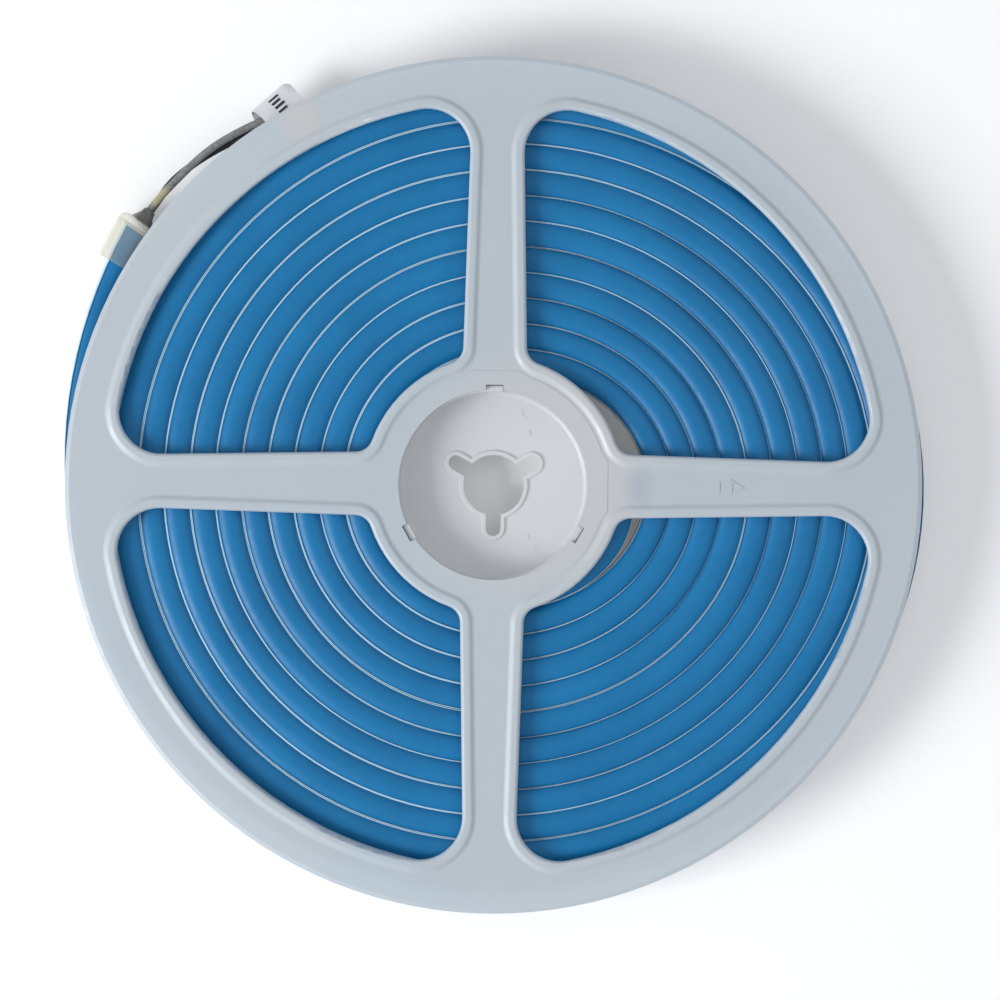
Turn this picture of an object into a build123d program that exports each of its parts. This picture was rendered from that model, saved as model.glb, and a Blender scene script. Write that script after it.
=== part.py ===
"""A reel of silicone LED neon strip: about 4.5 m of 6 x 12 mm strip wound on a snap-together plastic reel.

The origin is the centre of the drive hole, midway between the flanges. +Z runs along the reel's axis,
out through the front flange, and +X runs out along one of the four spokes. The reel lies on its rear
flange.
"""
from build123d import *
import os
from math import atan2, ceil, cos, degrees, floor, hypot, pi, radians, sin, tan

# ---- reel ----
FLANGE_R = 100.0
PLATE_T = 1.6
BEAD_H = 0.6  # rounded bead that stands round every window
BEAD_W = 3.0
BEAD_DRAFT = 56  # slope of the bead's outer side, in degrees from upright
BEAD_ROUND = 1.3
EDGE_ROUND = 0.9  # window edges, outside
INNER_EDGE_ROUND = 0.4
INNER_GAP = 14.0  # between the two flanges
HUB_HOLE_R = 22.2  # opening in the middle of each flange
WINDOW_IN_R = 30.2
WINDOW_OUT_R = 89.3
SPOKE_W_IN = 14.95  # spoke width at the window's inner arc
SPOKE_W_OUT = 12.15  # and at its outer arc
WINDOW_CORNER_IN = 4.0
WINDOW_CORNER_OUT = 10.0
RIM_BEVEL = 1.0
RIM_BEVEL_H = 0.35
LAND_SIDE = 53.2  # square land round the hub, seen as a faint step across each spoke
LAND_H = 0.1
LAND_GAP = 0.8  # between the land and the beads
MARK_X = 56.3  # small moulded triangle on one spoke
MARK_SIZE = 4.4
MARK_LINE = 0.45
MARK_H = 0.15

BARREL_R = 22.6
BARREL_WALL = 0.8
WEB_T = 1.6
WEB_FILLET = 0.9
DRIVE_R = 7.1  # drive hole, with three keyways
KEYWAY_W = 3.5
KEYWAY_TIP_R = 12.0
KEYWAY_ANGLES = (30, 150, 270)
LIP_W = 1.05
LIP_H = 0.5
LIP_ROUND = 0.35
GATE_R = 14.6  # gate and ejector marks on the web
GATE_ANGLES = (57, 177, 303)
EJECTOR_R = 19.0
EJECTOR_ANGLES = (65, 185, 307)

HOOK_ANGLES = (90, 210, 330)
HOOK_W = 3.85
HOOK_TIP_R = 23.15
HOOK_TOP = 1.0  # height of the hook above the flange's inner face
NOTCH_W = 4.05
NOTCH_R = 23.35

# ---- wound strip ----
STRIP_W = 5.8  # thickness that one turn adds
STRIP_H = 12.0  # height along the reel's axis
PITCH = 6.03
HUG_R = 22.98  # inner face of the first turn where it lies on the barrel
TURNS_START = 0.0  # in turns, clockwise from +X
TURNS_END = 11 + 214.67 / 360
CLIMB_FROM = 174  # a turn climbs on the one below between these two angles
CLIMB_OVER = 194
BULGE = 7.2  # how far the turns stand out over the inner end of the strip
BULGE_LOSS = 0.13  # and how much less each further turn does
BULGE_POWER = 9
END_SINK = 3.6  # the inner end lies inside that bulge
END_SINK_TURNS = 1 / 6
TAIL_LIFT = 5.3  # the last turn leaves the coil after six o'clock
TAIL_POWER = 2.1
TAIL_FROM = 11.25
STEPS_PER_TURN = 15

WALL_LOW = 0.9
WALL_TOP = 0.35
FLOOR_T = 1.2
CAVITY_H = 5.8
WALL_TOP_H = 11.4
Z_STRIP = -STRIP_H / 2
Z_CAVITY = Z_STRIP + FLOOR_T
Z_DIFFUSER = Z_CAVITY + CAVITY_H

FLEX_T = 0.25
FLEX_H = 4.6
FLEX_IN = 3.7  # from the strip's inner face
LED_PITCH = 16.67
LED_SIZE = (3.0, 1.0, 1.2)  # along the strip, off the circuit, along the reel's axis
LED_GAP = 0.12  # solder under each part
RESISTOR_SIZE = (1.6, 0.5, 0.8)
LEDS_PER_SECTION = 3

# ---- end caps and leads ----
CAP_SOCKET = 9.0  # how far the outer cap reaches back over the strip
INNER_SOCKET = 4.5  # and the inner one
CAP_PAST = 2.6  # and past its end
CAP_WALL = 0.6
CAP_GAP = 0.12
CAP_ROUND = 1.4
PLUG_T = 0.8
BOOT_L = 3.2
BOOT_W = (5.0, 2.6)
BOOT_H = (7.0, 4.6)
LEAD_D = 1.8
LEAD_STRAIGHT = 3.2
LEAD_OFF = 1.05  # each lead's distance from the strip's mid height
TIP_L = 6.0
TIP_D = 0.9
# Route of each lead after the boot, as seen from the front. The two cross once.
RED_ROUTE = [
    (-75.9, 70.3),
    (-68.3, 77.9),
    (-60.0, 82.9),
    (-51.5, 86.6),
    (-43.0, 89.4),
    (-31.3, 91.8),
    (-19.0, 93.8),
    (-6.0, 95.3),
    (7.0, 95.4),
    (19.0, 93.9),
    (29.5, 91.3),
]
BLACK_ROUTE = [
    (-76.6, 70.9),
    (-69.2, 76.6),
    (-60.9, 81.0),
    (-52.2, 85.3),
    (-43.6, 88.2),
    (-32.0, 91.2),
    (-20.0, 93.5),
    (-7.5, 95.1),
    (5.0, 95.5),
    (16.5, 94.3),
    (27.0, 92.0),
]
SLEEVE_CENTRE = (-50.1, 85.95)
SLEEVE_ANGLE = 42.0
SLEEVE_L = 12.0
SLEEVE_W = 12.5
SLEEVE_T = 4.9
SLEEVE_FILM = 0.25


# ---- reel ----
def window():
    """One window between two spokes, as a face."""
    reach = 2 * WINDOW_OUT_R
    ring = Circle(WINDOW_OUT_R) - Circle(WINDOW_IN_R)
    quarter = make_face(Polyline((0, 0), (reach, 0), (reach, reach), (0, reach), close=True))
    taper = (SPOKE_W_IN - SPOKE_W_OUT) / 2 / (WINDOW_OUT_R - WINDOW_IN_R)
    at_centre = SPOKE_W_IN / 2 + taper * WINDOW_IN_R
    at_reach = at_centre - taper * reach
    spoke = make_face(
        Polyline((0, -at_centre), (reach, -at_reach), (reach, at_reach), (0, at_centre), close=True)
    )
    face = (ring & quarter) - spoke - Rot(0, 0, 90) * spoke
    inner = face.vertices().sort_by(lambda v: hypot(v.X, v.Y))[:2]
    face = fillet(inner, WINDOW_CORNER_IN)
    outer = face.vertices().sort_by(lambda v: hypot(v.X, v.Y))[-2:]
    return fillet(outer, WINDOW_CORNER_OUT)


def prism(face, height, z):
    """A flat face extruded up from z."""
    return Pos(0, 0, z) * extrude(face, height)


def recycling_mark():
    """A plain raised triangle outline with a short bar beside it."""
    triangle = RegularPolygon(MARK_SIZE / 2, 3)
    outline = triangle - offset(triangle, -MARK_LINE)
    bar = Pos(-MARK_SIZE * 0.85, 0) * Rectangle(MARK_LINE, MARK_SIZE * 0.6)
    return Pos(MARK_X, 0) * (outline + bar)


def edges_on(solid, outline, z):
    """The solid's edges at height z that lie on this outline."""
    level = [e for e in solid.edges() if abs(e.center().Z - z) < 1e-4]
    return [e for e in level if outline.distance_to(Vertex((e @ 0.5).X, (e @ 0.5).Y, 0)) < 0.01]


def cut_window(plate, opening):
    """The plate with this window in it, and a soft bead round the window."""
    foot = offset(opening, BEAD_W).face()
    bead = Pos(0, 0, PLATE_T) * extrude(foot, BEAD_H, taper=BEAD_DRAFT)
    plate += fillet(bead.edges().group_by(Axis.Z)[-1], BEAD_ROUND)
    plate -= prism(opening, 3 * PLATE_T, -PLATE_T / 2)
    plate = fillet(edges_on(plate, foot.outer_wire(), PLATE_T), BEAD_ROUND)
    rim = opening.outer_wire()
    plate = fillet(edges_on(plate, rim, PLATE_T + BEAD_H), EDGE_ROUND)
    return fillet(edges_on(plate, rim, 0), INNER_EDGE_ROUND)


def flange():
    """A flange with its inner face at z = 0 and its outer face up."""
    plate = Cylinder(FLANGE_R, PLATE_T, align=(Align.CENTER, Align.CENTER, Align.MIN))
    rim = plate.edges().group_by(Axis.Z)[-1]
    plate = chamfer(rim, RIM_BEVEL_H, RIM_BEVEL)
    plate = fillet(plate.edges().group_by(Axis.Z)[0], PLATE_T / 4)
    land = Rectangle(LAND_SIDE, LAND_SIDE)
    openings = [(Rot(0, 0, 90 * i) * window()).face() for i in range(4)]
    for opening in openings:
        land -= offset(opening, BEAD_W + LAND_GAP)
    plate += prism(land, LAND_H, PLATE_T)
    for opening in openings:
        plate = cut_window(plate, opening)
    hole = Circle(HUB_HOLE_R)
    for angle in HOOK_ANGLES:
        hole += Rot(0, 0, angle) * Pos(NOTCH_R / 2, 0) * Rectangle(NOTCH_R, NOTCH_W)
    plate -= prism(hole, 3 * PLATE_T, -PLATE_T)
    return plate + prism(recycling_mark(), MARK_H, PLATE_T)


def drive_hole():
    """Outline of the drive hole: a circle with three round-ended keyways."""
    outline = Circle(DRIVE_R)
    middle = KEYWAY_TIP_R - KEYWAY_W / 2
    for angle in KEYWAY_ANGLES:
        outline += Rot(0, 0, angle) * Pos(middle / 2, 0) * Rectangle(middle, KEYWAY_W)
        outline += Rot(0, 0, angle) * Pos(middle, 0) * Circle(KEYWAY_W / 2)
    return outline


def snap_hook():
    """A hook on the barrel's upper end, with its foot at z = 0: a finger with a barb that points outward."""
    inner = BARREL_R - BARREL_WALL
    side = Polyline(
        (inner, 0, 0),
        (BARREL_R, 0, 0),
        (BARREL_R, 0, 0.5 * HOOK_TOP),
        (HOOK_TIP_R, 0, 0.6 * HOOK_TOP),
        (HOOK_TIP_R, 0, 0.8 * HOOK_TOP),
        (BARREL_R, 0, HOOK_TOP),
        (inner, 0, HOOK_TOP),
        close=True,
    )
    return extrude(make_face(side), HOOK_W / 2, both=True)


def hub_core():
    """The barrel that the strip is wound on, with the web that holds the drive hole and a hook ring each end."""
    inner = BARREL_R - BARREL_WALL
    core = Cylinder(BARREL_R, INNER_GAP) - Cylinder(inner, INNER_GAP) + Cylinder(inner, WEB_T)
    seams = [e for e in core.edges() if abs(abs(e.center().Z) - WEB_T / 2) < 0.01]
    core = fillet(seams, WEB_FILLET)
    lip = prism(offset(drive_hole(), LIP_W), WEB_T + 2 * LIP_H, -WEB_T / 2 - LIP_H)
    lip = fillet(lip.edges().filter_by(Axis.Z, reverse=True), LIP_ROUND)
    core += lip
    core -= prism(drive_hole(), INNER_GAP, -INNER_GAP / 2)
    for angle in GATE_ANGLES:
        core += Rot(0, 0, angle) * Pos(GATE_R, 0, WEB_T / 2) * Cylinder(0.55, 0.4)
    for angle in EJECTOR_ANGLES:
        core -= Rot(0, 0, angle) * Pos(EJECTOR_R, 0, WEB_T / 2) * Cylinder(1.5, 0.2)
    for angle in HOOK_ANGLES:
        hook = Rot(0, 0, angle) * Pos(0, 0, INNER_GAP / 2) * snap_hook()
        core += hook
        core += mirror(hook, about=Plane.XY)
    return core


# ---- wound strip ----
def smooth(t):
    """0 below 0, 1 above 1, and smooth between."""
    t = min(max(t, 0.0), 1.0)
    return t * t * (3 - 2 * t)


def inner_radius(turns):
    """Radius of the strip's inner face, this many turns clockwise from +X."""
    done = floor(turns)
    angle = 360 * (1 - (turns - done))
    climb = smooth((CLIMB_FROM - angle) / CLIMB_OVER)
    # the climb ends after +X, in the turn that follows
    late = smooth((CLIMB_FROM - angle + 360) / CLIMB_OVER)
    height = max(BULGE - BULGE_LOSS * turns, 0) * abs(cos(radians(angle / 2))) ** BULGE_POWER
    sink = END_SINK * max(0.0, 1 - turns / END_SINK_TURNS) ** 2
    tail = TAIL_LIFT * (4 * max(0.0, turns - TAIL_FROM)) ** TAIL_POWER
    return HUG_R + PITCH * (done - 1 + climb + late) + height - sink + tail


def strip_point(turns, out):
    """A point of the strip at this distance outside its inner face."""
    angle, radius = -2 * pi * turns, inner_radius(turns) + out
    return (radius * cos(angle), radius * sin(angle))


def heading(turns):
    """Direction of the strip's run, in degrees from +X."""
    step = 1e-4
    (x0, y0), (x1, y1) = strip_point(turns - step, 0), strip_point(turns + step, 0)
    return degrees(atan2(y1 - y0, x1 - x0))


def strip_edge(out, start, end):
    """One long edge of the strip as a chain of arcs."""
    count = ceil((end - start) * STEPS_PER_TURN)
    marks = [start + (end - start) * i / (2 * count) for i in range(2 * count + 1)]
    points = [strip_point(t, out) for t in marks]
    return [ThreePointArc(*points[i : i + 3]) for i in range(0, 2 * count, 2)]


def band(inner, outer, z_low, z_high, start=TURNS_START, end=TURNS_END):
    """A part of the wound strip's section, as one solid along the whole winding."""
    first = strip_edge(inner, start, end)
    second = strip_edge(outer, start, end)
    near = Line(strip_point(start, inner), strip_point(start, outer))
    far = Line(strip_point(end, inner), strip_point(end, outer))
    face = Face(Wire([*first, far, *second, near]))
    return prism(face, z_high - z_low, z_low)


def winding_length():
    """Length of the strip along the middle of its section."""
    steps = 4000
    marks = [TURNS_START + (TURNS_END - TURNS_START) * i / steps for i in range(steps + 1)]
    points = [strip_point(t, STRIP_W / 2) for t in marks]
    return sum(hypot(b[0] - a[0], b[1] - a[1]) for a, b in zip(points, points[1:]))


def turns_at(lengths):
    """Turns at which the middle of the strip has run each of these lengths."""
    found, done, t, step = [], 0.0, TURNS_START, 2e-4
    last = strip_point(t, STRIP_W / 2)
    for wanted in lengths:
        while done < wanted:
            t += step
            point = strip_point(t, STRIP_W / 2)
            done += hypot(point[0] - last[0], point[1] - last[1])
            last = point
        found.append(t)
    return found


def on_strip(piece, turns, out, z):
    """A piece built along +X, with +Y away from the axis, placed on the strip."""
    x, y = strip_point(turns, out)
    return Pos(x, y, z) * Rot(0, 0, heading(turns)) * piece


def jacket():
    """White silicone wall and floor of the strip, with the channel for the circuit and the diffuser."""
    whole = band(0, STRIP_W, Z_STRIP, Z_STRIP + WALL_TOP_H)
    whole -= band(WALL_TOP, STRIP_W - WALL_TOP, Z_DIFFUSER, Z_STRIP + WALL_TOP_H)
    return whole - band(WALL_LOW, STRIP_W - WALL_LOW, Z_CAVITY, Z_DIFFUSER)


def chips(lengths, size, z):
    """Parts soldered to the circuit's inner face, at these lengths along the strip."""
    along_strip, off, tall = size
    block = Box(along_strip, off, tall)
    out = FLEX_IN - LED_GAP - off / 2
    return Compound([on_strip(block, t, out, z).solid() for t in turns_at(lengths)])


# ---- end caps ----
def turns_off(length, turns):
    """Turns that this length of strip takes up near a place on the winding."""
    return length / (2 * pi * (inner_radius(turns) + STRIP_W / 2))


def sleeve_on_strip(wall, turns, back, ahead):
    """A block round the strip's section, this much thicker each side, from one place on the strip to another."""
    start, end = turns + turns_off(back, turns), turns + turns_off(ahead, turns)
    z_low, z_high = Z_STRIP - wall, Z_STRIP + STRIP_H + wall
    return band(-wall, STRIP_W + wall, z_low, z_high, start, end)


def end_cap(turns, way, socket):
    """A silicone cap over one end of the strip. way is 1 at the outer end and -1 at the inner one."""
    over, past = -way * socket, way * CAP_PAST
    shell = sleeve_on_strip(CAP_WALL, turns, min(over, past), max(over, past))
    uprights = shell.edges().filter_by(Axis.Z)
    far = strip_point(turns + turns_off(way * CAP_PAST, turns), STRIP_W / 2)
    uprights = uprights.sort_by(lambda e: hypot(e.center().X - far[0], e.center().Y - far[1]))
    shell = fillet(uprights[:2], CAP_ROUND)
    ends = (2 * over, way * PLUG_T)
    return shell - sleeve_on_strip(CAP_GAP, turns, min(ends), max(ends))


def cap_plug(turns, way):
    """The adhesive that fills the cap's socket beyond the strip's end."""
    ends = (way * 0.05, way * PLUG_T)
    return sleeve_on_strip(CAP_GAP, turns, min(ends), max(ends))


def cap_end():
    """Middle of the outer cap's end face, and the way it faces, in degrees from +X."""
    turns = TURNS_END + turns_off(CAP_PAST, TURNS_END)
    return strip_point(turns, STRIP_W / 2), -360 * turns - 90


def lead_boot():
    """Tapered neck between the outer cap and the two leads."""
    near = Plane.YZ * Rectangle(BOOT_W[0], BOOT_H[0])
    far = Plane.YZ.offset(BOOT_L) * Rectangle(BOOT_W[1], BOOT_H[1])
    boot = loft([near, far])
    (x, y), facing = cap_end()
    return Pos(x, y) * Rot(0, 0, facing) * boot


def lead_route(route, z):
    """A lead's route, from the boot's end face."""
    (x, y), facing = cap_end()
    way = (cos(radians(facing)), sin(radians(facing)))
    straight = [(x + d * way[0], y + d * way[1]) for d in (BOOT_L, BOOT_L + LEAD_STRAIGHT)]
    return [(*point, z) for point in [*straight, *route]]


def cord(points, diameter):
    """A round cord along straight runs joined by arcs, as large as the runs allow."""
    radii = []
    for a, b, c in zip(points, points[1:], points[2:]):
        into, out = Vector(*b) - Vector(*a), Vector(*c) - Vector(*b)
        turn = radians(into.get_angle(out))
        radii.append(0.45 * min(into.length, out.length) / tan(turn / 2))
    path = FilletPolyline(*points, radius=radii)
    start = Plane(origin=path @ 0, z_dir=path % 0)
    tube = sweep(start * Circle(diameter / 2), path=path)
    exact = path.length * pi * diameter**2 / 4
    print("cord length", round(path.length, 1), "volume ratio", round(tube.volume / exact, 4))
    print("  radii", [round(r, 1) for r in radii])
    return tube, path


def bare_tip(path):
    """Tinned wire that stands out of a lead's far end."""
    tip = Cylinder(TIP_D / 2, TIP_L, align=(Align.CENTER, Align.CENTER, Align.MIN))
    return Plane(origin=path @ 1, z_dir=path % 1) * tip


def label_sleeve():
    """Flattened printed sleeve round both leads."""
    outer = SlotOverall(SLEEVE_W, SLEEVE_T)
    ring = outer - SlotOverall(SLEEVE_W - 2 * SLEEVE_FILM, SLEEVE_T - 2 * SLEEVE_FILM)
    tube = extrude(Plane.XZ * ring, SLEEVE_L / 2, both=True)
    return Pos(*SLEEVE_CENTRE) * Rot(0, 0, SLEEVE_ANGLE - 90) * tube


def solder_joints():
    """The two joints of the leads on the end of the circuit."""
    bead = Box(2.2, 0.9, 1.4)
    back = 3.0 / (2 * pi * inner_radius(TURNS_END))
    out = FLEX_IN - LED_GAP - 0.45
    made = [on_strip(bead, TURNS_END - back, out, Z_CAVITY + 0.9 + z) for z in (0, 2.6)]
    return Compound([piece.solid() for piece in made])


# ---- all nodes ----
def build():
    """Every node of the reel, by name."""
    side = flange()
    length = winding_length()
    print("strip length", round(length, 1))
    last = length - CAP_SOCKET - 4
    leds = [LED_PITCH * (i + 0.5) for i in range(int(last / LED_PITCH))]
    sections = [LED_PITCH * (i + 1) for i in range(0, len(leds) - 1, LEDS_PER_SECTION)]
    red, red_path = cord(lead_route(RED_ROUTE, LEAD_OFF), LEAD_D)
    black, black_path = cord(lead_route(BLACK_ROUTE, -LEAD_OFF), LEAD_D)
    z_led = Z_CAVITY + FLEX_H - LED_SIZE[2] / 2
    return {
        "front_flange": Pos(0, 0, INNER_GAP / 2) * side,
        "rear_flange": Pos(0, 0, -INNER_GAP / 2) * Rot(0, 180, 0) * side,
        "hub_core": hub_core(),
        "neon_jacket": jacket(),
        "neon_diffuser": band(WALL_TOP, STRIP_W - WALL_TOP, Z_DIFFUSER, Z_STRIP + STRIP_H),
        "flex_circuit": band(FLEX_IN, FLEX_IN + FLEX_T, Z_CAVITY + 0.3, Z_CAVITY + 0.3 + FLEX_H),
        "led_chips": chips(leds, LED_SIZE, z_led),
        "resistors": chips(sections, RESISTOR_SIZE, Z_CAVITY + 1.6),
        "inner_end_cap": end_cap(TURNS_START, -1, INNER_SOCKET),
        "outer_end_cap": end_cap(TURNS_END, 1, CAP_SOCKET),
        "inner_cap_plug": cap_plug(TURNS_START, -1),
        "outer_cap_plug": cap_plug(TURNS_END, 1),
        "lead_solder_joints": solder_joints(),
        "lead_boot": lead_boot(),
        "positive_lead": red,
        "negative_lead": black,
        "positive_lead_tip": bare_tip(red_path),
        "negative_lead_tip": bare_tip(black_path),
        "label_sleeve": label_sleeve(),
    }


os.makedirs("parts", exist_ok=True)
for name, shape in build().items():
    export_step(shape, f"parts/{name}.step")
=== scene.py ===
"""The reel of LED neon strip in Blender: the strip, its caps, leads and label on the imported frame."""
import random
from math import ceil, cos, floor, pi, radians, sin

import bmesh
import bpy
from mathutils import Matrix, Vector


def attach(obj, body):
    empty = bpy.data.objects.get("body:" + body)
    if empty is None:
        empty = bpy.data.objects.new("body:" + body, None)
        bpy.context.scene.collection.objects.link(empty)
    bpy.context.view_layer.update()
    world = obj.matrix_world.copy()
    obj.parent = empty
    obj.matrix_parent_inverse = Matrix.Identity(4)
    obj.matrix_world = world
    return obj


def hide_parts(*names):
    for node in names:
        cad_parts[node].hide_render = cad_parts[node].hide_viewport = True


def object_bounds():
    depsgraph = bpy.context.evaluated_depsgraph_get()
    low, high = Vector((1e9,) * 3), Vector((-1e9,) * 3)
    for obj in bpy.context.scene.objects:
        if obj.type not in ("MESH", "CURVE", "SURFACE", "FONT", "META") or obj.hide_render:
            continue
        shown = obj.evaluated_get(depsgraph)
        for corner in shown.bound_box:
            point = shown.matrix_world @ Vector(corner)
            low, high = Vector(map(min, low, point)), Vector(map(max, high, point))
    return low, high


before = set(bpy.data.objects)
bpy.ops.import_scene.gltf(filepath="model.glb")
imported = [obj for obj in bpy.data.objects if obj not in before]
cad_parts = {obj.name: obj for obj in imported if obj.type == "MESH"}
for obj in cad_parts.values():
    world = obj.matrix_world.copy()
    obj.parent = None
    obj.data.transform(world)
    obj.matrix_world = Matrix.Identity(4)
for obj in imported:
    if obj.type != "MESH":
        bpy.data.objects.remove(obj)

MM = 0.001
cad_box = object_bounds()


def add_to_scene(thing):
    """Puts a new object in the scene."""
    bpy.context.scene.collection.objects.link(thing)


# ---- camera, in millimetres ----
CAMERA_ABOVE = 900.0  # over the front flange's outer face
FACE_Z = 8.6  # height of that face
FRAME_W = 233.1  # width of the picture at that face
SENSOR_W = 36
CAMERA_X = 1.56
CAMERA_Y = -3.5
CAMERA_ROLL = radians(0.7)

camera_data = bpy.data.cameras.new("camera")
camera_data.lens = SENSOR_W * CAMERA_ABOVE / FRAME_W
camera = bpy.data.objects.new("camera", camera_data)
camera.location = (CAMERA_X * MM, CAMERA_Y * MM, (CAMERA_ABOVE + FACE_Z) * MM)
camera.rotation_euler = (0, 0, CAMERA_ROLL)
add_to_scene(camera)
bpy.context.scene.camera = camera
bpy.context.scene.view_settings.view_transform = "Standard"


# ---- winding, as in the CAD: millimetres, and turns clockwise from +X ----
STRIP_W = 5.8
PITCH = 6.03  # from each turn to the next
HUG_R = 22.98  # inner face of the strip on the barrel
TURNS_END = 11 + 214.67 / 360
CLIMB_FROM = 174  # degrees from +X where a turn starts to climb over the one before
CLIMB_OVER = 194  # degrees clockwise that a climb takes
BULGE = 7.2  # the turns stand out at +X, over the strip's inner end
BULGE_LOSS = 0.13  # less with each turn
BULGE_POWER = 9
END_SINK = 3.6  # the strip's inner end comes nearer to the barrel
END_SINK_TURNS = 1 / 6
TAIL_LIFT = 5.3  # the last stretch leaves the coil
TAIL_POWER = 2.1
TAIL_FROM = 11.25

# ---- caps and leads, in millimetres ----
CAP_SOCKET = 9.0  # the outer cap's grip over the strip
INNER_SOCKET = 4.5
CAP_PAST = 2.6  # from the strip's end to the cap's
BOOT_L = 3.2
LEAD_STRAIGHT = 3.2
LEAD_OFF = 1.05  # from the strip's middle plane to each lead
LEAD_D = 1.8


def smooth(t):
    """An eased step from 0 to 1."""
    t = min(max(t, 0.0), 1.0)
    return t * t * (3 - 2 * t)


def inner_radius(turns):
    """Radius of the strip's inner face, this many turns clockwise from +X."""
    done = floor(turns)
    angle = 360 * (1 - (turns - done))
    climb = smooth((CLIMB_FROM - angle) / CLIMB_OVER)
    late = smooth((CLIMB_FROM - angle + 360) / CLIMB_OVER)
    height = max(BULGE - BULGE_LOSS * turns, 0) * abs(cos(radians(angle / 2))) ** BULGE_POWER
    sink = END_SINK * max(0.0, 1 - turns / END_SINK_TURNS) ** 2
    tail_quarters = 4 * max(0.0, turns - TAIL_FROM)
    tail = TAIL_LIFT * tail_quarters ** TAIL_POWER
    return HUG_R + PITCH * (done - 1 + climb + late) + height - sink + tail


def turns_off(length, turns):
    """Turns that this length of strip takes up near a place on the winding."""
    return length / (2 * pi * (inner_radius(turns) + STRIP_W / 2))


def cap_end():
    """Middle of the outer cap's end face, and the way it faces."""
    turns = TURNS_END + turns_off(CAP_PAST, TURNS_END)
    angle, radius = -2 * pi * turns, inner_radius(turns) + STRIP_W / 2
    return (radius * cos(angle), radius * sin(angle)), radians(-360 * turns - 90)


GREY_ROUTE = [
    (-75.9, 70.3),
    (-68.3, 77.9),
    (-60.0, 82.9),
    (-51.5, 86.6),
    (-43.0, 89.4),
    (-31.3, 91.8),
    (-19.0, 93.8),
    (-6.0, 95.3),
    (7.0, 95.4),
    (19.0, 93.9),
    (29.5, 91.3),
]
BLACK_ROUTE = [
    (-76.6, 70.9),
    (-69.2, 76.6),
    (-60.9, 81.0),
    (-52.2, 85.3),
    (-43.6, 88.2),
    (-32.0, 91.2),
    (-20.0, 93.5),
    (-7.5, 95.1),
    (5.0, 95.5),
    (16.5, 94.3),
    (27.0, 92.0),
]


def lead(name, node, route, z):
    """One lead as a smooth cord on its route."""
    (x, y), facing = cap_end()
    way = (cos(facing), sin(facing))
    straight = [(x + d * way[0], y + d * way[1]) for d in (BOOT_L, BOOT_L + LEAD_STRAIGHT)]
    points = [(px * MM, py * MM, z * MM) for px, py in [*straight, *route]]
    curve = bpy.data.curves.new(name, "CURVE")
    curve.dimensions = "3D"
    curve.resolution_u = 12
    curve.bevel_depth = 1.0  # times each point's radius
    curve.bevel_resolution = 6
    curve.use_fill_caps = True
    spline = curve.splines.new("NURBS")
    spline.points.add(len(points) - 1)
    for point, place in zip(spline.points, points):
        point.co = (*place, 1)
        point.radius = LEAD_D / 2 * MM
    spline.order_u = 3
    spline.use_endpoint_u = True
    piece = bpy.data.objects.new(name, curve)
    add_to_scene(piece)
    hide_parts(node)
    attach(piece, "strip")
    return piece


positive = lead("positive_lead_cord", "positive_lead", GREY_ROUTE, LEAD_OFF)
negative = lead("negative_lead_cord", "negative_lead", BLACK_ROUTE, -LEAD_OFF)


# ---- materials ----
TO_RAMP = 0.1 / MM  # turns metres into a ramp's 0 to 1, so that it spans 10 mm


def linear(red, green, blue):
    """An sRGB colour, 0 to 255, as scene-linear."""
    def one(value):
        value /= 255
        return value / 12.92 if value <= 0.04045 else ((value + 0.055) / 1.055) ** 2.4
    return (one(red), one(green), one(blue))


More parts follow.
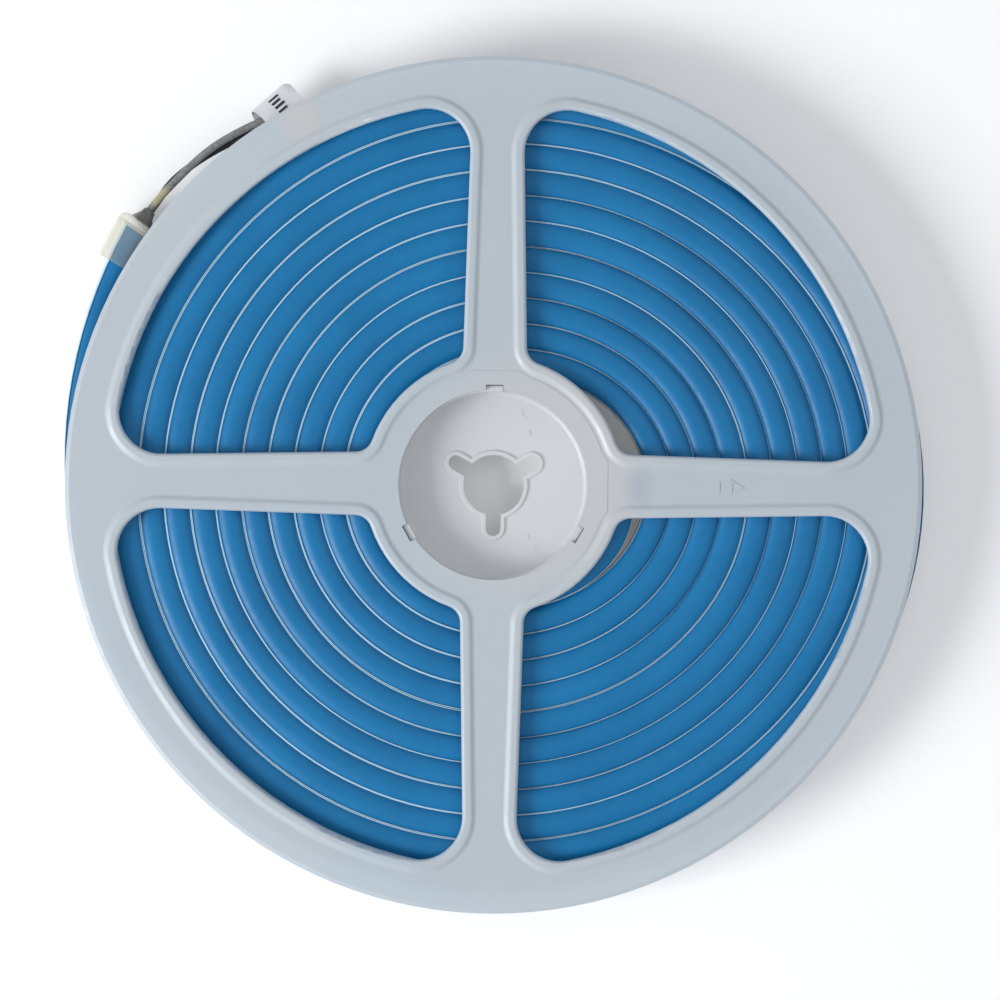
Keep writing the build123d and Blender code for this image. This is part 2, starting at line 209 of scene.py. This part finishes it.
class Nodes:
    """A Principled material and its node tree."""

    def __init__(self, name, **sockets):
        self.material = bpy.data.materials.new(name)
        self.material.use_nodes = True
        self.tree = self.material.node_tree
        self.shader = self.tree.nodes["Principled BSDF"]
        coordinates = self.add("ShaderNodeTexCoord")
        self.place, self.normal = coordinates.outputs["Object"], coordinates.outputs["Normal"]
        for key, value in sockets.items():
            self.shader.inputs[key.replace("_", " ")].default_value = value

    def add(self, kind, **settings):
        """A new node with these settings."""
        node = self.tree.nodes.new(kind)
        for key, value in settings.items():
            setattr(node, key, value)
        return node

    def link(self, source, target):
        """A link from an output to an input."""
        self.tree.links.new(source, target)

    def feed(self, socket, value):
        """Gives an input a number, a colour or another node's output."""
        if isinstance(value, (int, float)):
            socket.default_value = value
        elif isinstance(value, tuple):
            socket.default_value = (*value, 1)
        else:
            self.link(value, socket)

    def noise(self, scale, detail=3.0):
        """Noise in object space, 0 to 1. scale is in features per metre."""
        node = self.add("ShaderNodeTexNoise")
        node.inputs["Scale"].default_value = scale
        node.inputs["Detail"].default_value = detail
        self.link(self.place, node.inputs["Vector"])
        return node.outputs["Fac"]

    def ramp(self, value, low, high, socket=None, edges=(0.3, 0.7)):
        """From one sRGB colour or grey to another, as a value goes from one edge to the other."""
        node = self.add("ShaderNodeValToRGB")
        for point, edge, tint in zip(node.color_ramp.elements, edges, (low, high)):
            point.position = edge
            point.color = (*linear(*tint), 1) if isinstance(tint, tuple) else (tint, tint, tint, 1)
        self.link(value, node.inputs["Fac"])
        if socket:
            self.link(node.outputs["Color"], self.shader.inputs[socket])
        return node.outputs["Color"]

    def mix(self, factor, first, second):
        """A blend from one linear colour to another."""
        node = self.add("ShaderNodeMix", data_type="RGBA")
        for index, value in ((0, factor), (6, first), (7, second)):  # the sockets that colours use
            self.feed(node.inputs[index], value)
        return node.outputs[2]

    def math(self, operation, *values):
        """A sum on numbers or outputs."""
        node = self.add("ShaderNodeMath", operation=operation)
        for socket, value in zip(node.inputs, values):
            self.feed(socket, value)
        return node.outputs["Value"]

    def upward(self, vector):
        """The Z part of a vector."""
        split = self.add("ShaderNodeSeparateXYZ")
        self.link(vector, split.inputs[0])
        return split.outputs["Z"]

    def spot(self, centre, full, none, strength, ragged=0.0, scale=(1, 1, 1)):
        """A share for one place: strength within full of its centre, and 0 beyond none.

        In millimetres, below 10. A scale below 1 makes the spot that much longer along an axis.
        """
        squeezed = self.add("ShaderNodeVectorMath", operation="MULTIPLY")
        self.link(self.place, squeezed.inputs[0])
        squeezed.inputs[1].default_value = scale
        away = self.add("ShaderNodeVectorMath", operation="DISTANCE")
        self.link(squeezed.outputs["Vector"], away.inputs[0])
        away.inputs[1].default_value = [c * k * MM for c, k in zip(centre, scale)]
        edge = self.math("MULTIPLY", self.noise(700, 2), ragged / 10) if ragged else 0.0
        near = self.math("MULTIPLY_ADD", away.outputs["Value"], TO_RAMP, edge)
        return self.ramp(near, strength, 0.0, edges=(full / 10, none / 10))

    def bump(self, *layers):
        """Bumps over each other. A layer is (height, depth in millimetres)."""
        normal = None
        for height, depth in layers:
            node = self.add("ShaderNodeBump")
            node.inputs["Distance"].default_value = depth * MM
            self.link(height, node.inputs["Height"])
            if normal:
                self.link(normal, node.inputs["Normal"])
            normal = node.outputs["Normal"]
        self.link(normal, self.shader.inputs["Normal"])


def plastic(name, low, high):
    """Translucent moulded polystyrene, and its colour, not yet linked to the shader."""
    m = Nodes(name, Roughness=0.4, IOR=1.55, Transmission_Weight=0.3)
    tint = m.ramp(m.noise(14), low, high)
    m.ramp(m.noise(260, 4), 0.36, 0.5, "Roughness")
    m.bump((m.noise(900), 0.015), (m.noise(60, 2), 0.2))
    return m, tint


def reel_plastic():
    """The flanges' plastic, tinted a little by painted light and shade from what lies under it: painted
    light round the hub and by the label sleeve, a painted blue shade over the strip's inner end, and
    painted bluish light on the rounded edges.
    """
    m, tint = plastic("reel_plastic", (206, 217, 225), (213, 221, 227))
    # painted light: lighter and more neutral round the hub, where the white barrel lies under the plastic
    painted_hub_light = m.spot((10, 3, 0), 1.7, 3.4, 0.85, scale=(0.1, 0.1, 0))
    # painted shade: darker blue over the strip's inner end under the flange
    painted_inner_end_shade = m.spot((34.2, -0.3, 8.8), 0.5, 4.4, 0.32, scale=(1, 0.65, 1))
    # painted light: a lighter, warmer patch by the label sleeve
    sleeve = m.spot((-45.8, 84.3, 8.6), 2.0, 6.5, 0.75)
    # painted bluish light on the steep, rounded edges, where light comes from below
    painted_edge_light = m.ramp(m.math("ABSOLUTE", m.upward(m.normal)), 0.5, 0.0, edges=(0.3, 0.85))
    for share, colour in (
        (painted_hub_light, (224, 224, 226)),
        (painted_inner_end_shade, (136, 172, 204)),
        (sleeve, (224, 220, 220)),
        (painted_edge_light, (184, 210, 238)),
    ):
        tint = m.mix(share, tint, linear(*colour))
    m.link(tint, m.shader.inputs["Base Color"])
    return m.material


HUB_GLOW = 0.032


def hub_plastic():
    """The core's plastic. A faint glow stands in for the light that comes through its thin wall."""
    m, tint = plastic("hub_plastic", (221, 223, 226), (227, 229, 231))
    m.link(tint, m.shader.inputs["Base Color"])
    m.shader.inputs["Emission Color"].default_value = (1, 1, 1, 1)
    m.shader.inputs["Emission Strength"].default_value = HUB_GLOW
    return m.material


def silicone_blue():
    """The diffuser's blue silicone."""
    m = Nodes("blue_silicone", Roughness=0.42, IOR=1.38)
    m.ramp(m.noise(55), (10, 107, 160), (16, 116, 171), "Base Color")
    m.ramp(m.noise(400), 0.38, 0.5, "Roughness")
    m.bump((m.noise(1600, 2), 0.01), (m.noise(120, 2), 0.08))
    return m.material


def silicone_white():
    """White silicone, with painted blue light from the dome near its top."""
    m = Nodes("white_silicone", Roughness=0.5, IOR=1.42)
    white = m.ramp(m.noise(90), (222, 226, 228), (231, 234, 235))
    height = m.math("MULTIPLY", m.upward(m.place), TO_RAMP)
    # painted blue light from the dome on the walls' tops
    painted_dome_light = m.ramp(height, 0.0, 1.0, edges=(0.36, 0.5))
    m.link(m.mix(painted_dome_light, white, linear(180, 211, 229)), m.shader.inputs["Base Color"])
    m.bump((m.noise(1600, 2), 0.01))
    return m.material


def clear_silicone(name, alpha):
    """The caps' clear silicone, for one thickness of it."""
    m = Nodes(name, Roughness=0.3, IOR=1.41, Alpha=alpha)
    m.ramp(m.noise(160), (208, 206, 172), (222, 220, 188), "Base Color")
    m.bump((m.noise(500, 2), 0.05))
    return m.material


def insulation(name, low, high, smear=None):
    """Lead insulation drawn over the strands, which show through as a fine pattern.

    smear is the centre of a spot of sealant on it.
    """
    m = Nodes(name, IOR=1.45)
    tint = m.ramp(m.noise(1400, 2), low, high, edges=(0.35, 0.65))
    if smear:
        tint = m.mix(m.spot(smear, 2.7, 3.8, 0.85, ragged=1.6), tint, linear(176, 170, 132))
    m.link(tint, m.shader.inputs["Base Color"])
    m.ramp(m.noise(300, 2), 0.34, 0.5, "Roughness")
    m.bump((m.noise(1800, 2), 0.04))
    return m.material


def label_film():
    """The sleeve's thin white film."""
    m = Nodes("label_white", Roughness=0.35, IOR=1.5, Transmission_Weight=0.15)
    m.ramp(m.noise(200), (222, 222, 228), (234, 234, 238), "Base Color")
    m.bump((m.noise(700, 2), 0.03))
    return m.material


def floor_white():
    """The matt white of the studio floor."""
    m = Nodes("floor_white", Roughness=0.9, Emission_Color=(1, 1, 1, 1), Emission_Strength=0.08)
    m.ramp(m.noise(3, 2), 0.93, 0.95, "Base Color")
    return m.material


def plain(name, low, high, scale, rough=(0.4, 0.55), depth=0.01, **sockets):
    """A simple solid finish: two close colours in fine noise."""
    m = Nodes(name, **sockets)
    m.ramp(m.noise(scale), low, high, "Base Color")
    m.ramp(m.noise(scale * 3, 2), *rough, "Roughness")
    m.bump((m.noise(scale * 4, 2), depth))
    return m.material


REEL = reel_plastic()
HUB = hub_plastic()
BLUE = silicone_blue()
WHITE = silicone_white()
CLEAR = [
    clear_silicone("clear_silicone", 0.13),
    clear_silicone("clear_silicone_corner", 0.26),
    clear_silicone("clear_silicone_side", 0.42),
]
FLEX = plain("flex_circuit_white", (214, 214, 205), (226, 226, 218), 500)
LED = plain("led_package_cream", (228, 224, 205), (240, 236, 214), 900)
RESISTOR = plain("resistor_black", (24, 24, 26), (38, 38, 40), 900)
SOLDER = plain("solder_grey", (150, 152, 155), (182, 184, 188), 1500, (0.2, 0.35), Metallic=1.0)
COPPER = plain(
    "tinned_wire", (170, 168, 160), (205, 203, 196), 2500, (0.25, 0.4), 0.05, Metallic=1.0
)
SEALANT = plain("sealant", (206, 208, 190), (220, 220, 204), 400, IOR=1.41, Alpha=0.2)
BOOT = plain("boot_grey", (92, 92, 90), (124, 123, 119), 900, depth=0.03)
GREY_LEAD = insulation("grey_insulation", (112, 112, 112), (140, 140, 139), (-78.7, 66.3, 1.9))
BLACK_LEAD = insulation("black_insulation", (24, 23, 24), (44, 42, 42))
LABEL = label_film()
INK = plain("label_ink", (30, 30, 32), (44, 44, 46), 1500, (0.45, 0.6))

for names, material in (
    ("front_flange rear_flange", REEL),
    ("hub_core", HUB),
    ("flex_circuit", FLEX),
    ("led_chips", LED),
    ("resistors", RESISTOR),
    ("lead_solder_joints", SOLDER),
    ("inner_cap_plug outer_cap_plug", SEALANT),
    ("positive_lead_tip negative_lead_tip", COPPER),
):
    for name in names.split():
        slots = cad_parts[name].data.materials
        slots.clear()
        slots.append(material)
positive.data.materials.append(GREY_LEAD)
negative.data.materials.append(BLACK_LEAD)


# ---- how the strip varies ----
TILT = radians(17)  # it leans outward where it leaves the coil
TILT_FROM = 11.46  # turns
TILT_OVER = 0.13
PUSH = 0.9  # and stands out a little further there
WOBBLE = radians(0.8)  # the most that any stretch leans in the coil
FULL_FROM = 10.2  # turns between which the strip is a little fuller
FULL_TO = 10.72
FULL_EASE = 0.04
FULL_BY = 0.3
RIGHT_EDGE = 0.28  # how far the side of +X reaches, and how fast it ends
RIGHT_EASE = 2.4
WALL_TOP = 5.32
RISE_BY = 0.1  # the walls' tops rise and fall by this
SUNK = [0.6, 0.6, 0.55, 0.6, 0.05, 0.55, 0.05, 0.6, 0.0, 0.1, 0.15, 0.1, 0.0]  # on the right, by turn

PER_TURN = 4  # places on a turn that have their own numbers
DRAWS = 60
dice = random.Random(11)
LEAN = [dice.uniform(-1, 1) for _ in range(DRAWS)]
SPREAD = [dice.uniform(0, 1) for _ in range(DRAWS)]
RISE = [dice.uniform(-1, 1) for _ in range(DRAWS)]
WALLS = [dice.uniform(-1, 1) for _ in range(DRAWS)]


def varied(table, turns):
    """A smooth run through a table of numbers, a few to each turn."""
    at = turns * PER_TURN
    first = floor(at)
    share = smooth(at - first)
    return table[first % len(table)] * (1 - share) + table[(first + 1) % len(table)] * share


def rightness(turns):
    """1 on the side of +X, where the turns bulge over the inner end, and 0 on the other side."""
    return smooth(RIGHT_EASE * (cos(2 * pi * turns) + RIGHT_EDGE))


def wall_top(turns):
    """Height of the walls between this turn and the next one out. Some sink between the domes."""
    first = floor(turns + 0.5)
    sunk = SUNK[first % len(SUNK)] * rightness(turns)
    return WALL_TOP + RISE_BY * varied(RISE, turns) - sunk


def on_strip(turns, out, z):
    """A point of the strip's section, leaned as the strip is there, in metres."""
    loose = smooth((turns - TILT_FROM) / TILT_OVER)
    lean = TILT * loose + WOBBLE * varied(LEAN, turns)
    full = smooth((turns - FULL_FROM) / FULL_EASE) * smooth((FULL_TO - turns) / FULL_EASE)
    out += FULL_BY * full * out / STRIP_W
    across = out - STRIP_W / 2 + PUSH * loose
    radius = inner_radius(turns) + STRIP_W / 2 + across * cos(lean) - z * sin(lean)
    angle = -2 * pi * turns
    height = across * sin(lean) + z * cos(lean)
    return Vector((radius * cos(angle), radius * sin(angle), height)) * MM


# ---- mesh tools ----
SHARP = radians(50)  # steeper edges than this aren't shaded smooth


def object_from(name, bm, material, slot, *nodes):
    """A smooth-shaded piece from a bmesh, riding on the strip's body."""
    bmesh.ops.recalc_face_normals(bm, faces=bm.faces)
    mesh = bpy.data.meshes.new(name)
    bm.to_mesh(mesh)
    bm.free()
    mesh.materials.append(material)
    mesh.shade_smooth()
    mesh.set_sharp_from_angle(angle=SHARP)
    piece = bpy.data.objects.new(name, mesh)
    add_to_scene(piece)
    if nodes:
        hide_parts(*nodes)
    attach(piece, "strip")
    return piece


def join_rings(bm, first, second):
    """Faces between two rings of as many points."""
    for i in range(len(first)):
        j = (i + 1) % len(first)
        bm.faces.new((first[i], first[j], second[j], second[i]))


def join_all(bm, rings):
    """Faces along a row of rings, open at both ends."""
    for first, second in zip(rings, rings[1:]):
        join_rings(bm, first, second)


def close_ends(bm, rings):
    """A face over each end of a row of rings."""
    bm.faces.new(rings[0])
    bm.faces.new(rings[-1])


# ---- wound strip, in millimetres: out from its inner face, and z from its middle plane ----
RINGS = 120  # cross-sections in a turn
BASE_Z = -6.0
CAVITY_Z = -4.8  # floor of the circuit's cavity
CAVITY_OUT = (0.9, 4.9)  # its two walls
LEDGE_Z = 1.0  # where the diffuser starts
SEAT_Z = 4.3  # where the walls start to round over
BASE_CORNER = [(0.45, 0.0), (0.12, 0.12), (0.0, 0.45)]  # rounding of the lower edges: inward, up
REACH = 0.115  # how far a wall reaches towards the next turn
REACH_LOSS = 0.08  # less where the strip is drawn in, which is more often so on the right
LOSS_FROM = 0.55
LOSS_RIGHT = 0.35
WALL = 0.12  # thickness, inward from the strip's nominal side
WALL_VARY = 0.04
DOME_STEPS = 14
DOME_FOOT_Z = 4.92
DOME_RISE = 1.0
DOME_VARY = 0.04
DOME_HALF = STRIP_W / 2 - 0.12
DOME_FLATNESS = 2.2  # the dome's outline is a superellipse
DOME_ROUNDNESS = 0.75


def swept(section):
    """A closed section swept along the winding. section(turns) gives (out, z) points."""
    count = ceil(TURNS_END * RINGS)
    bm = bmesh.new()
    rings = []
    for i in range(count + 1):
        turns = TURNS_END * i / count
        rings.append([bm.verts.new(on_strip(turns, out, z)) for out, z in section(turns)])
    join_all(bm, rings)
    close_ends(bm, rings)
    return bm


def wall_crest(edge, way, wall, top):
    """Rounded top of a wall, from its outer edge inward."""
    return [
        (edge, top - 0.12),
        (edge + way * 0.04, top - 0.03),
        (edge + way * wall * 0.5, top),
        (edge + way * (wall - 0.04), top - 0.05),
        (edge + way * wall, top - 0.14),
    ]


def jacket_section(turns):
    """White walls and floor, with the cavity for the circuit and the seat of the diffuser."""
    right = rightness(turns)
    reach = REACH - REACH_LOSS * max(0.0, varied(SPREAD, turns) - LOSS_FROM + LOSS_RIGHT * right)
    wall = WALL - WALL_VARY * right + WALL_VARY * varied(WALLS, turns) + reach
    low, high = -reach, STRIP_W + reach
    cavity_low, cavity_high = CAVITY_OUT
    return [
        *[(low + out, BASE_Z + z) for out, z in BASE_CORNER],
        (low, 0.0),
        *wall_crest(low, 1, wall, wall_top(turns - 1)),
        (low + wall, SEAT_Z),
        (low + wall, LEDGE_Z),
        (cavity_low, LEDGE_Z),
        (cavity_low, CAVITY_Z),
        (cavity_high, CAVITY_Z),
        (cavity_high, LEDGE_Z),
        (high - wall, LEDGE_Z),
        (high - wall, SEAT_Z),
        *reversed(wall_crest(high, -1, wall, wall_top(turns))),
        (high, 0.0),
        *[(high - out, BASE_Z + z) for out, z in reversed(BASE_CORNER)],
    ]


def dome_section(turns):
    """Blue diffuser: a low crown between the white walls."""
    crown = DOME_RISE + DOME_VARY * varied(RISE, turns + 0.5)
    low, high = STRIP_W / 2 - DOME_HALF, STRIP_W / 2 + DOME_HALF
    points = [(low, LEDGE_Z), (low, SEAT_Z)]
    for i in range(DOME_STEPS + 1):
        x = -cos(pi * i / DOME_STEPS)
        rise = crown * (1 - abs(x) ** DOME_FLATNESS) ** DOME_ROUNDNESS
        points.append((STRIP_W / 2 + DOME_HALF * x, DOME_FOOT_Z + rise))
    return [*points, (high, SEAT_Z), (high, LEDGE_Z)]


object_from("neon_jacket_body", swept(jacket_section), WHITE, "white_silicone", "neon_jacket")
object_from("neon_diffuser_dome", swept(dome_section), BLUE, "blue_silicone", "neon_diffuser")


# ---- end caps ----
CAP_W = STRIP_W + 1.2
CAP_H = 13.1
CAP_CORNER = 1.2
CAP_END_CORNER = 1.3
CAP_LIP_IN = 0.12  # the rounding of its open end: inward, and along the strip
CAP_LIP_L = 0.15
CAP_NOSE_IN = 1.9  # the rounding of its closed end
CAP_NOSE_L = 2.2
CAP_NOSE_STEPS = 6
CAP_SLEEVE_PAST = 0.5  # how far its straight sleeve runs past the strip's end
CAP_SLEEVE_STEPS = 5
CAP_WALL = 0.52
CAP_HOLLOW_CORNER = 0.8
CORNER_STEPS = 5
STEEP = 0.62  # faces seen edge on, where more silicone lies behind each point
SLOPED = 0.2


def rounded(width, height, corner):
    """A rounded rectangle round (STRIP_W / 2, 0), as (out, z) points."""
    points = []
    for quarter, (sx, sz) in enumerate(((1, 1), (-1, 1), (-1, -1), (1, -1))):
        for i in range(CORNER_STEPS + 1):
            a = pi / 2 * (quarter + i / CORNER_STEPS)
            out = STRIP_W / 2 + sx * (width / 2 - corner) + corner * cos(a)
            points.append((out, sz * (height / 2 - corner) + corner * sin(a)))
    return points


def cap_outside(socket):
    """Rings of the cap's outer face, as (along, inset, corner): a thin lip, a sleeve and a round nose."""
    rings = [(-socket, CAP_LIP_IN, CAP_CORNER), (-socket + CAP_LIP_L, 0.0, CAP_CORNER)]
    for i in range(1, CAP_SLEEVE_STEPS + 1):
        along = -socket + (socket + CAP_SLEEVE_PAST) * i / CAP_SLEEVE_STEPS
        rings.append((along, 0.0, CAP_CORNER))
    for i in range(CAP_NOSE_STEPS + 1):
        a = pi / 2 * i / CAP_NOSE_STEPS
        along = CAP_PAST - CAP_NOSE_L + CAP_NOSE_L * sin(a)
        rings.append((along, CAP_NOSE_IN * (1 - cos(a)), CAP_END_CORNER))
    return rings


def cap_inside(socket):
    """Rings of the cap's hollow, from its closed end out to the lip."""
    rings = [(0.8, CAP_WALL + 0.03), (-1.5, CAP_WALL), (-socket / 2, CAP_WALL)]
    rings += [(-socket + 0.2, CAP_WALL), (-socket, CAP_WALL - 0.1)]
    return [(along, inset, CAP_HOLLOW_CORNER) for along, inset in rings]


def cap(name, turns, way, socket, node):
    """A moulded cap: a shell over the strip's end, closed and rounded at its far end."""
    bm = bmesh.new()

    def ring(along, inset, corner):
        at = turns + way * turns_off(along, turns)
        section = rounded(CAP_W - 2 * inset, CAP_H - 2 * inset, corner)
        return [bm.verts.new(on_strip(at, out, z)) for out, z in section]

    outer = [ring(*station) for station in cap_outside(socket)]
    inner = [ring(*station) for station in cap_inside(socket)]
    join_all(bm, outer)
    join_all(bm, inner)
    join_rings(bm, outer[0], inner[-1])
    bm.faces.new(outer[-1])
    bm.faces.new(inner[0])
    piece = object_from(name, bm, CLEAR[0], "clear_silicone", node)
    for material in CLEAR[1:]:
        piece.data.materials.append(material)
    for face in piece.data.polygons:
        steepness = 1 - abs(face.normal.z)
        face.material_index = 2 if steepness > STEEP else 1 if steepness > SLOPED else 0


cap("outer_cap_shell", TURNS_END, 1, CAP_SOCKET, "outer_end_cap")
cap("inner_cap_shell", 0.0, -1, INNER_SOCKET, "inner_end_cap")


# ---- boot ----
BOOT_W = (5.0, 2.6)  # at the cap and at the leads
BOOT_H = (7.0, 4.6)
BOOT_IN = 0.3  # how far it starts inside the cap
BOOT_CORNER = 0.3  # times its width
BOOT_RINGS = (0.0, 0.12, 0.35, 0.6, 0.85, 1.0)  # shares of its length


def boot():
    """Tapered neck from the cap to the leads. It leans as the cap does, and ends upright."""
    (x, y), facing = cap_end()
    bm = bmesh.new()
    rings = []
    for share in BOOT_RINGS:
        ease = smooth(share)
        width, height = (start + (end - start) * ease for start, end in (BOOT_W, BOOT_H))
        lean = TILT * (1 - ease)
        along = -BOOT_IN + (BOOT_L + BOOT_IN) * share
        ring = []
        for out, z in rounded(width, height, width * BOOT_CORNER):
            across = out - STRIP_W / 2
            side = across * cos(lean) - z * sin(lean)
            up = across * sin(lean) + z * cos(lean)
            px = x + along * cos(facing) - side * sin(facing)
            py = y + along * sin(facing) + side * cos(facing)
            ring.append(bm.verts.new(Vector((px, py, up)) * MM))
        rings.append(ring)
    join_all(bm, rings)
    close_ends(bm, rings)
    object_from("lead_boot_sleeve", bm, BOOT, "boot_grey", "lead_boot")


boot()


# ---- label sleeve ----
SLEEVE_CENTRE = (-50.1, 85.95)
SLEEVE_ANGLE = radians(42.0)
SLEEVE_L = 12.0
SLEEVE_W = 12.5
SLEEVE_T = 4.9
SLEEVE_FILM = 0.25
SLEEVE_FLATTER = 0.45  # how much lower each film lies at the far end
SLEEVE_SLANT = 1.8  # how much shorter the upper film is at the near end
SLEEVE_NIP = 1.1  # how far its outer fold draws in at the far end
SLEEVE_NIP_FROM = 0.86
SLEEVE_SIDES = 64
SLEEVE_RINGS = 16
SIDE_POWER = 0.7  # its section is a superellipse
FLAT_POWER = 0.85
BARS = [(-4.95, 2.9, 0.5), (-3.9, 2.4, 0.62), (-2.75, 3.1, 0.66), (-1.5, 2.7, 0.6), (-0.3, 3.0, 0.62)]
BARS_ALONG = 0.7  # past the sleeve's middle
BARS_SINK = 0.22  # about how much lower the film is there than at the sleeve's near end
INK_BELOW = 0.1  # a bar's foot under the film, and its top over it
INK_ABOVE = 0.05


def sleeve_point(x, along, z):
    """A point of the sleeve: x across it, away from its outer fold, and along its axis."""
    px = SLEEVE_CENTRE[0] + along * cos(SLEEVE_ANGLE) + x * sin(SLEEVE_ANGLE)
    py = SLEEVE_CENTRE[1] + along * sin(SLEEVE_ANGLE) - x * cos(SLEEVE_ANGLE)
    return Vector((px, py, z)) * MM


def sleeve_loop(share, inset):
    """One loop of the film, at a share of the sleeve's length from its open near end."""
    thick = SLEEVE_T / 2 - inset - SLEEVE_FLATTER * smooth(share)
    wide = SLEEVE_W / 2 - inset
    nip = SLEEVE_NIP * max(0.0, (share - SLEEVE_NIP_FROM) / (1 - SLEEVE_NIP_FROM)) ** 2
    points = []
    for i in range(SLEEVE_SIDES):
        a = 2 * pi * i / SLEEVE_SIDES
        c, s = cos(a), sin(a)
        x = wide * abs(c) ** SIDE_POWER * (1 if c > 0 else -1)
        z = thick * abs(s) ** FLAT_POWER * (1 if s > 0 else -1)
        if x < 0:
            x += nip
        slant = SLEEVE_SLANT * (1 + s) / 2 * (1 - share) ** 2
        points.append(sleeve_point(x, SLEEVE_L * (share - 0.5) + slant, z))
    return points


def sleeve():
    """A flattened film tube round both leads."""
    bm = bmesh.new()
    films = []
    for inset in (0.0, SLEEVE_FILM):
        loops = [sleeve_loop(i / SLEEVE_RINGS, inset) for i in range(SLEEVE_RINGS + 1)]
        films.append([[bm.verts.new(point) for point in loop] for loop in loops])
    outside, inside = films
    join_all(bm, outside)
    join_all(bm, inside)
    for end in (0, -1):
        join_rings(bm, outside[end], inside[end])
    object_from("label_sleeve_film", bm, LABEL, "label_white", "label_sleeve")


def film_top(x):
    """Height of the upper film where the bars are printed."""
    c = min(1.0, abs(x) / (SLEEVE_W / 2)) ** (1 / SIDE_POWER)
    return (SLEEVE_T / 2 - BARS_SINK) * max(0.0, 1 - c * c) ** (FLAT_POWER / 2)


def sleeve_bars():
    """Plain printed bars on the upper film. Each one is (place across it, length, width)."""
    bm = bmesh.new()
    for x, long, wide in BARS:
        corners = []
        for dx, dy in ((-1, -1), (-1, 1), (1, 1), (1, -1)):
            px, along = x + dx * wide / 2, BARS_ALONG + dy * long / 2
            heights = (film_top(px) - INK_BELOW, film_top(px) + INK_ABOVE)
            corners.append([bm.verts.new(sleeve_point(px, along, height)) for height in heights])
        join_rings(bm, *zip(*corners))
        for level in zip(*corners):
            bm.faces.new(level)
    object_from("label_print_bars", bm, INK, "label_white")


sleeve()
sleeve_bars()


# ---- floor and light ----
FLOOR_HALF = 3.0  # metres
WORLD_COLOUR = (0.93, 0.96, 1.0, 1)
WORLD_STRENGTH = 0.55

floor_mesh = bpy.data.meshes.new("floor")
bm = bmesh.new()
bmesh.ops.create_grid(bm, x_segments=2, y_segments=2, size=FLOOR_HALF)
bm.to_mesh(floor_mesh)
bm.free()
floor_mesh.materials.append(floor_white())
floor_object = bpy.data.objects.new("floor", floor_mesh)
floor_object.location = (0, 0, cad_box[0].z)
add_to_scene(floor_object)

world = bpy.data.worlds.new("studio")
bpy.context.scene.world = world
world.use_nodes = True
background = world.node_tree.nodes["Background"]
background.inputs["Color"].default_value = WORLD_COLOUR
background.inputs["Strength"].default_value = WORLD_STRENGTH


def area(name, azimuth, elevation, distance, size, power):
    """A soft square light that faces the reel. Degrees from +X and up, metres and watts."""
    a, e = radians(azimuth), radians(elevation)
    data = bpy.data.lights.new(name, "AREA")
    data.shape = "SQUARE"
    data.size = size
    data.energy = power
    light = bpy.data.objects.new(name, data)
    away = Vector((cos(a) * cos(e), sin(a) * cos(e), sin(e)))
    light.location = away * distance
    light.rotation_mode = "QUATERNION"
    light.rotation_quaternion = away.to_track_quat("Z", "Y")
    add_to_scene(light)


area("key", azimuth=203, elevation=33, distance=1.6, size=0.7, power=20.8)
area("fill", azimuth=30, elevation=60, distance=1.4, size=0.9, power=1.5)

bpy.context.view_layer.update()
